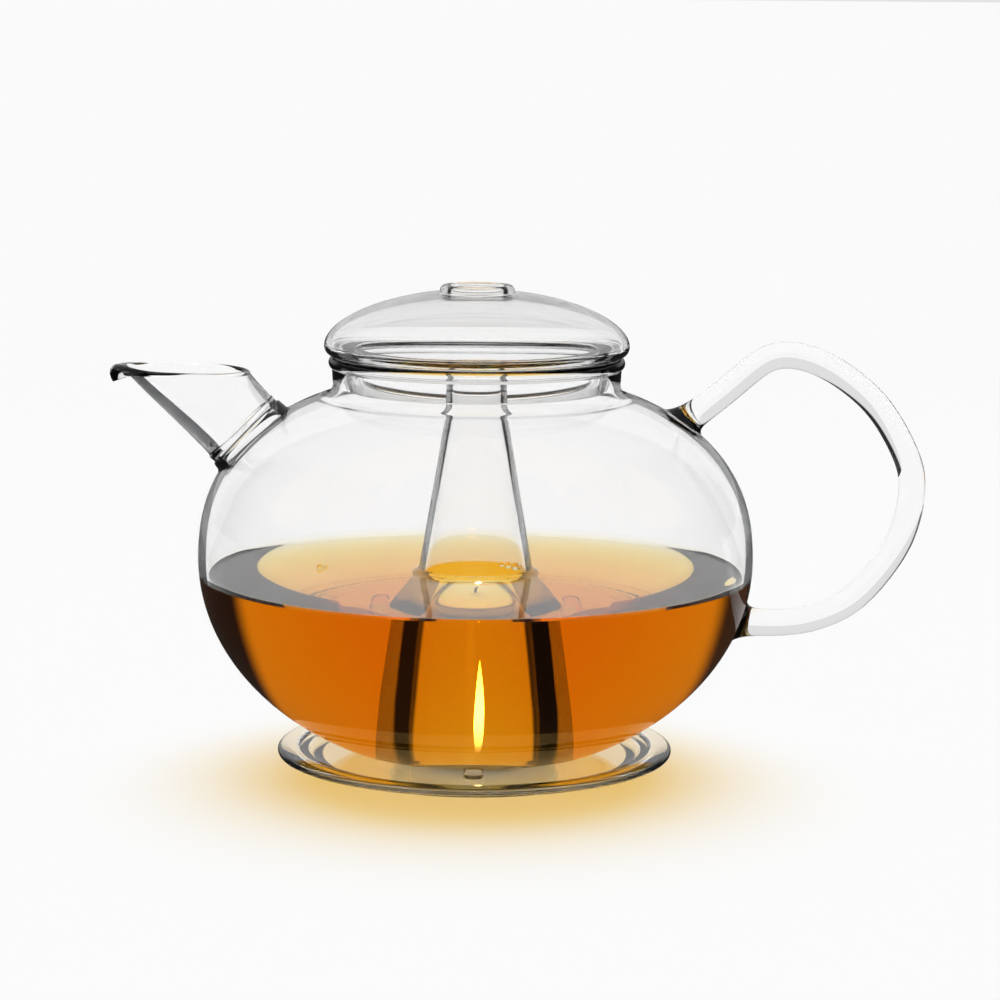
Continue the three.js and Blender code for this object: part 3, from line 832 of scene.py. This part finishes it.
def wall_r(z, depth):
    """The pot's radius at a height, depth inside its outer face."""
    high, power = (POT_ABOVE, ABOVE_POWER) if z >= WIDEST_Z else (POT_BELOW, 2)
    share = min(abs(z - WIDEST_Z) / (high - depth), 1)
    return (POT_R - depth) * (1 - share ** power) ** (1 / power)


def cone_r(z):
    side = chimney_side(0)
    for (r0, z0), (r1, z1) in zip(side, side[1:]):
        if z0 <= z <= z1:
            return r0 + (r1 - r0) * (z - z0) / (z1 - z0)
    return CHIMNEY_TOP_R


wet = pot.data.attributes.new(WET, "FLOAT", "FACE")
wet_faces = 0
for face in pot.data.polygons:
    x, y, z = (c / MM for c in face.center)
    r = math.hypot(x, y)
    beside_tea = cone_r(z) - WET_MARGIN < r < wall_r(z, POT_WALL) + WET_MARGIN
    soaked = beside_tea and POT_BOTTOM_Z + POT_WALL - WET_MARGIN < z < TEA_Z + 0.4
    wet.data[face.index].value = 1.0 if soaked else 0.0
    wet_faces += soaked
print("wetted faces", wet_faces)

# %% [markdown]
# ## Lid
# The lid is blown hollow. Its flat underside rests on the rim, a collar keeps it centred in the neck, and
# a small ring round the vent on top serves as the grip.

# %% Lid
lid_low, lid_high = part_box("lid_dome")
collar_low, collar_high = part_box("lid_collar")
ring_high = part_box("lid_vent_ring")[1]
LID_R = lid_high.x / MM
SEAT_Z = lid_low.z / MM
COLLAR_BOTTOM_Z = collar_low.z / MM
COLLAR_OUT_R = collar_high.x / MM
LID_WALL = 2
LID_ROUND_H = 2.7
DOME_H = 16.6
DOME_POWER = 1.87
VENT_R = 9.5
VENT_T = ring_high.x / MM - VENT_R
VENT_Z = ring_high.z / MM - VENT_T


def dome(depth, steps):
    widest = SEAT_Z + LID_ROUND_H
    ratio = ((VENT_R + VENT_T * 0.8) / (LID_R - depth)) ** (DOME_POWER / 2)
    high = math.degrees(math.acos(ratio))
    return round_arc(LID_R - depth, DOME_H - depth, DOME_POWER, widest, 0, high, steps)


edge_r = LID_ROUND_H * 0.8
half_wall = LID_WALL / 2
collar_in_r = COLLAR_OUT_R - LID_WALL
collar_low_r = COLLAR_OUT_R - 1.4
lid_outline = [
    *arc(COLLAR_OUT_R + 1.5, SEAT_Z - 1.5, 1.5, 1.5, 180, 90, 5),
    *arc(LID_R - edge_r, SEAT_Z + LID_ROUND_H, edge_r, LID_ROUND_H, -90, -8, 10),
    *dome(0, 60),
    *arc(VENT_R, VENT_Z, VENT_T, VENT_T, -40, 220, 20),
    *dome(LID_WALL, 60)[::-1],
    *arc(LID_R - LID_WALL - 1.2, SEAT_Z + LID_WALL + 1.2, 1.2, 1.2, -10, -90, 6),
    (collar_in_r - 0.6, SEAT_Z + LID_WALL),
    *arc(collar_in_r - 0.6, SEAT_Z + half_wall, half_wall * 0.9, half_wall, 90, 180, 6),
    (collar_in_r - 0.4, SEAT_Z - 3), (collar_in_r - 0.6, SEAT_Z - 6),
    *arc(collar_low_r - half_wall, COLLAR_BOTTOM_Z + half_wall, half_wall, half_wall, -180, 0, 10),
    (COLLAR_OUT_R - 0.3, SEAT_Z - 6), (COLLAR_OUT_R - 0.05, SEAT_Z - 3),
]
lid = turned("lid_glass", lid_outline, drawn_glass, segments=224)
place(lid, "lid", "clear_glass", "lid_dome", "lid_collar", "lid_vent_ring")

# %% [markdown]
# ## Tea
# Tea fills the space between the pot's wall and the cone. Its outer face reaches a hair into the glass, so
# that no film of air is left between them. It climbs the glass a little at its edge, as every liquid that
# wets glass does. The colour is not painted on: blue and green light are taken up over the length of the
# way through.

# %% Tea
OVERLAP = 0.25
CLIMB = 1.3
CLIMB_W = 3.52
CLIMB_STEPS = 12
SIDE_STEPS = 60

tea_bottom = POT_BOTTOM_Z + POT_WALL - OVERLAP
tea_depth = POT_WALL - OVERLAP
heel_z = tea_bottom + 3.4
tea_outline = [(cone_r(heel_z) - OVERLAP, heel_z), (cone_r(tea_bottom) + 1.2, tea_bottom + 0.6),
               (cone_r(tea_bottom) + 3.2, tea_bottom)]
for i in range(SIDE_STEPS + 1):
    z = tea_bottom + (TEA_Z + CLIMB - tea_bottom) * (i / SIDE_STEPS) ** 1.35
    tea_outline.append((wall_r(z, tea_depth), z))
wall_at_tea = wall_r(TEA_Z, tea_depth)
cone_at_tea = cone_r(TEA_Z)


def climb(t):
    """How high the tea stands at a share of the way down from the glass."""
    return TEA_Z + CLIMB * (1 - t) ** 2.6


shares = [i / CLIMB_STEPS for i in range(CLIMB_STEPS + 1)]
tea_outline += [(wall_at_tea - OVERLAP - CLIMB_W * t, climb(t)) for t in shares[1:]]
tea_outline += [(wall_at_tea + (cone_at_tea - wall_at_tea) * i / 6, TEA_Z) for i in range(1, 6)]
tea_outline += [(cone_at_tea + CLIMB_W * t, climb(t)) for t in shares[::-1]]
tea_outline.append((cone_r(TEA_Z + CLIMB) - OVERLAP, TEA_Z + CLIMB))
for i in range(1, 16):
    z = TEA_Z + (heel_z - TEA_Z) * i / 16
    tea_outline.append((cone_r(z) - OVERLAP, z))

# %% Tea's colour
TEA_TAKES = (0.982, 0.80, 0.02, 1)
TEA_STRENGTH = 62
SHADE_TAKES = (0.93, 0.78, 0.36, 1)
SHADE_STRENGTH = 52
FACING_UP = 0.12

liquid = new_material("black_tea")
tree = liquid.node_tree
where = add(tree, "ShaderNodeTexCoord").outputs
facing_up = worked_out(tree, "GREATER_THAN", parts_of(tree, where["Normal"])["Z"], FACING_UP)
at_top = worked_out(tree, "GREATER_THAN", parts_of(tree, where["Object"])["Z"], (TEA_Z - 0.5) * MM)
free_face = worked_out(tree, "MULTIPLY", facing_up, at_top)
in_shadow = add(tree, "ShaderNodeLightPath").outputs["Is Shadow Ray"]
clear = see_through(tree)
surface = mixed(tree, free_face, clear, refracting(tree, TEA_IOR))
out = add(tree, "ShaderNodeOutputMaterial")
wire(tree, mixed(tree, in_shadow, surface, clear), out.inputs["Surface"])
inside = mixed(tree, in_shadow, taking_up(tree, TEA_TAKES, TEA_STRENGTH),
               taking_up(tree, SHADE_TAKES, SHADE_STRENGTH))
wire(tree, inside, out.inputs["Volume"])
tea = turned("tea", tea_outline, liquid, segments=192, crease=60)
place(tea, "pot", "amber_tea")
print("tea from", round(tea_bottom, 2), "to", TEA_Z)

# %% [markdown]
# ## Bubbles
# Freshly poured tea carries a few bubbles. They gather where the liquid climbs the glass, here by the
# chimney and one at the wall. Each is a small bead of the liquid's own skin, half sunk in the surface.

# %% Bubbles
# across, back and radius, in millimetres
BUBBLES = [(12.5, 7.5, 1.3), (14.6, 5.2, 1.0), (10.2, 9.9, 1.1), (16.2, 3.2, 0.8), (13.9, 8.9, 0.7),
           (8.2, 11.9, 0.8), (-47.0, 2.5, 1.0), (-45.2, 3.6, 0.6)]
SKIN_TINT = (1.0, 0.93, 0.62, 1)
froth = bmesh.new()
for x, y, radius in BUBBLES:
    bmesh.ops.create_uvsphere(froth, u_segments=24, v_segments=16, radius=radius * MM,
                              matrix=Matrix.Translation(Vector((x, y, TEA_Z + 0.3 * radius)) * MM))
bubble_mesh = bpy.data.meshes.new("bubbles")
froth.to_mesh(bubble_mesh)
froth.free()
skin = new_material("tea_bubble")
tree = skin.node_tree
skin_film = refracting(tree, TEA_IOR, tint=SKIN_TINT)
wire(tree, skin_film, add(tree, "ShaderNodeOutputMaterial").inputs["Surface"])
bubbles = finished("bubbles", bubble_mesh, skin)
place(bubbles, "pot", "amber_tea")
print("bubbles", len(BUBBLES))

# %% [markdown]
# ## Tealight
# A pressed aluminium cup with a rolled edge, filled with paraffin. A tin disc keeps the wick upright, and
# it drowns the flame when the wax is used up. Round the wick the wax has melted into a clear pool.

# %% Metals, wax and wick
def solid_finish(name, colour, roughness, metallic=0.0, scale=400.0, bump_depth=0.03, subsurface=0.0):
    material = new_material(name)
    tree = material.node_tree
    shade = add(tree, "ShaderNodeBsdfPrincipled")
    shade.inputs["Base Color"].default_value = (*colour, 1)
    shade.inputs["Roughness"].default_value = roughness
    shade.inputs["Metallic"].default_value = metallic
    shade.inputs["Subsurface Weight"].default_value = subsurface
    shade.inputs["Subsurface Scale"].default_value = 3 * MM
    wire(tree, uneven(tree, scale, 3.0, 0.5, bump_depth * MM), shade.inputs["Normal"])
    wire(tree, shade.outputs[0], add(tree, "ShaderNodeOutputMaterial").inputs["Surface"])
    return material


aluminium = solid_finish("pressed_aluminium", (0.80, 0.81, 0.82), 0.28, 1.0)
tin = solid_finish("tinplate", (0.58, 0.58, 0.60), 0.35, 1.0)
paraffin = solid_finish("paraffin", (0.93, 0.91, 0.84), 0.22, subsurface=0.6)
cotton = solid_finish("charred_cotton", (0.03, 0.022, 0.018), 0.9, scale=1500, bump_depth=0.1)

# %% Tealight pieces
cup_low, cup_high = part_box("tealight_cup")
wax_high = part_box("tealight_wax")[1]
CUP_R = 19
CUP_Z, CUP_TOP = cup_low.z / MM, cup_high.z / MM
WAX_TOP = wax_high.z / MM
cup_wall = 0.35
rim_roll = cup_high.x / MM - CUP_R
dent_z = CUP_Z + 0.3
cup_outline = [(0, dent_z), (11.4, dent_z), *arc(12.4, dent_z, 0.9, 0.3, 180, 270, 4),
               (16.8, CUP_Z), *arc(CUP_R - 1.2, CUP_Z + 1.2, 1.2, 1.2, -90, 0, 6),
               (CUP_R, CUP_TOP - 2 * rim_roll),
               *arc(CUP_R, CUP_TOP - rim_roll, rim_roll, rim_roll, -80, 150, 12),
               (CUP_R - cup_wall, CUP_TOP - 1.6 * rim_roll),
               (CUP_R - cup_wall, CUP_Z + 1.3), (CUP_R - 1.3, CUP_Z + cup_wall), (12.4, CUP_Z + cup_wall),
               (11.4, dent_z + cup_wall), (0, dent_z + cup_wall)]
cup = turned("tealight_cup_pressed", cup_outline, aluminium, segments=160)
place(cup, "tealight", "cup_aluminium", "tealight_cup")

wax_r = CUP_R - cup_wall - 0.1
wax_outline = [(0, CUP_Z + 0.9), (wax_r - 1, CUP_Z + 0.9), (wax_r, CUP_Z + 2), (wax_r, WAX_TOP),
               (wax_r - 1.2, WAX_TOP - 0.7), (wax_r - 3.4, WAX_TOP - 1.0), (8, WAX_TOP - 1.1),
               (2.5, WAX_TOP - 1.05), (1.0, WAX_TOP - 0.7), (0, WAX_TOP - 0.6)]
wax = turned("tealight_wax_pool", wax_outline, paraffin, segments=128, crease=60)
place(wax, "tealight", "candle_wax", "tealight_wax")

wick_low, wick_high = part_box("wick")
wick_r = (wick_high.x - wick_low.x) / 2 / MM
WICK_STEPS, WICK_SIDES = 40, 24
WICK_LEAN, LEAN_FROM = 17.6, 0.75
WICK_TWIST = 9
rings = []
for i in range(WICK_STEPS + 1):
    t = i / WICK_STEPS
    z = wick_low.z / MM + (wick_high.z - wick_low.z) / MM * t
    lean = WICK_LEAN * max(t - LEAN_FROM, 0) ** 2
    radius = wick_r * (1 + 0.12 * math.sin(t * 60)) * (1 if t < 0.95 else 0.65)
    turns = [2 * math.pi * j / WICK_SIDES + t * WICK_TWIST for j in range(WICK_SIDES)]
    rings.append([Vector((lean + radius * math.cos(a), radius * math.sin(a), z)) for a in turns])
wick = loft("wick_cotton", rings, cotton, ends=True)
place(wick, "tealight", "wick_cotton", "wick")

sus_low, sus_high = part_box("wick_sustainer")
sus_r = sus_high.x / MM
sus_z = sus_low.z / MM
sustainer = turned("wick_sustainer_disc", [
    (1.0, sus_z), (sus_r - 0.3, sus_z), *arc(sus_r - 0.25, sus_z + 0.25, 0.25, 0.25, -90, 90, 6),
    (2.6, sus_z + 0.5), *arc(2.6, sus_z + 1.5, 1.0, 1.0, -90, -180, 5),
    (1.5, sus_high.z / MM), (1.0, sus_high.z / MM)], tin, segments=96)
place(sustainer, "tealight", "tinplate", "wick_sustainer")

# %% [markdown]
# ## Flame
# The flame is hot gas and not a solid, so it has no part in the design's collision. It is a thin tall
# drop, blue and almost clear at the wick, and brightest above the middle.

# %% Flame
FLAME_Z = 28.0
FLAME_TOP = 43.0
FLAME_R = 1.6
FLAME_POWER = 16.0
FLAME_SHOWS = (0.04, 0.60)
FLAME_IN_MIRROR = 0.08
FLAME_STEPS, FLAME_SIDES = 48, 48
# the colour at a share of the way up
FLAME_COLOURS = [(0.0, (0.05, 0.08, 0.30)), (0.12, (0.30, 0.20, 0.16)), (0.34, (1.0, 0.78, 0.50)),
                 (0.6, (1.0, 0.88, 0.68)), (0.88, (1.0, 0.80, 0.45)), (1.0, (0.8, 0.42, 0.10))]
flame_colour = new_material("flame_glow")
tree = flame_colour.node_tree
way_up = parts_of(tree, add(tree, "ShaderNodeTexCoord").outputs["Generated"])["Z"]
ramp = add(tree, "ShaderNodeValToRGB")
while len(ramp.color_ramp.elements) < len(FLAME_COLOURS):
    ramp.color_ramp.elements.new(0.5)
for element, (position, colour) in zip(ramp.color_ramp.elements, FLAME_COLOURS):
    element.position = position
    element.color = (*colour, 1)
wire(tree, way_up, ramp.inputs[0])
glow = shining(tree, FLAME_POWER)
wire(tree, ramp.outputs["Color"], glow.inputs["Color"])
outside_mirrors = worked_out(tree, "MULTIPLY_ADD", seen_in_mirror(tree), FLAME_IN_MIRROR - 1, 1.0)
shown = worked_out(tree, "MULTIPLY", faded(tree, way_up, *FLAME_SHOWS), outside_mirrors)
gas = mixed(tree, shown, see_through(tree), glow.outputs[0])
wire(tree, gas, add(tree, "ShaderNodeOutputMaterial").inputs["Surface"])

# %% Flame's shape
rings = []
for i in range(FLAME_STEPS + 1):
    t = i / FLAME_STEPS
    radius = max(FLAME_R * math.sin(math.pi * t ** 0.8) ** 0.85 * (1 - 0.2 * t), 0.02)
    z = FLAME_Z + (FLAME_TOP - FLAME_Z) * t
    sway = 0.5 * math.sin(t * 2.2) + 1.0
    turns = [2 * math.pi * j / FLAME_SIDES for j in range(FLAME_SIDES)]
    rings.append([Vector((sway + radius * math.cos(a), radius * math.sin(a), z)) for a in turns])
flame = loft("flame", rings, flame_colour, ends=True)
place(flame, "tealight", "flame")
print("flame", FLAME_TOP - FLAME_Z, "mm tall")

# %% [markdown]
# ## Measure and finish
# The last step prints the finished model's box beside the design's, which shows whether anything has grown
# past it.

# %% Sizes
model_bounds = [list(corner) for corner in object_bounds()]
for label, corners in (("design", cad_bounds), ("model", model_bounds)):
    print(label, [[round(c / MM, 1) for c in corner] for corner in corners])
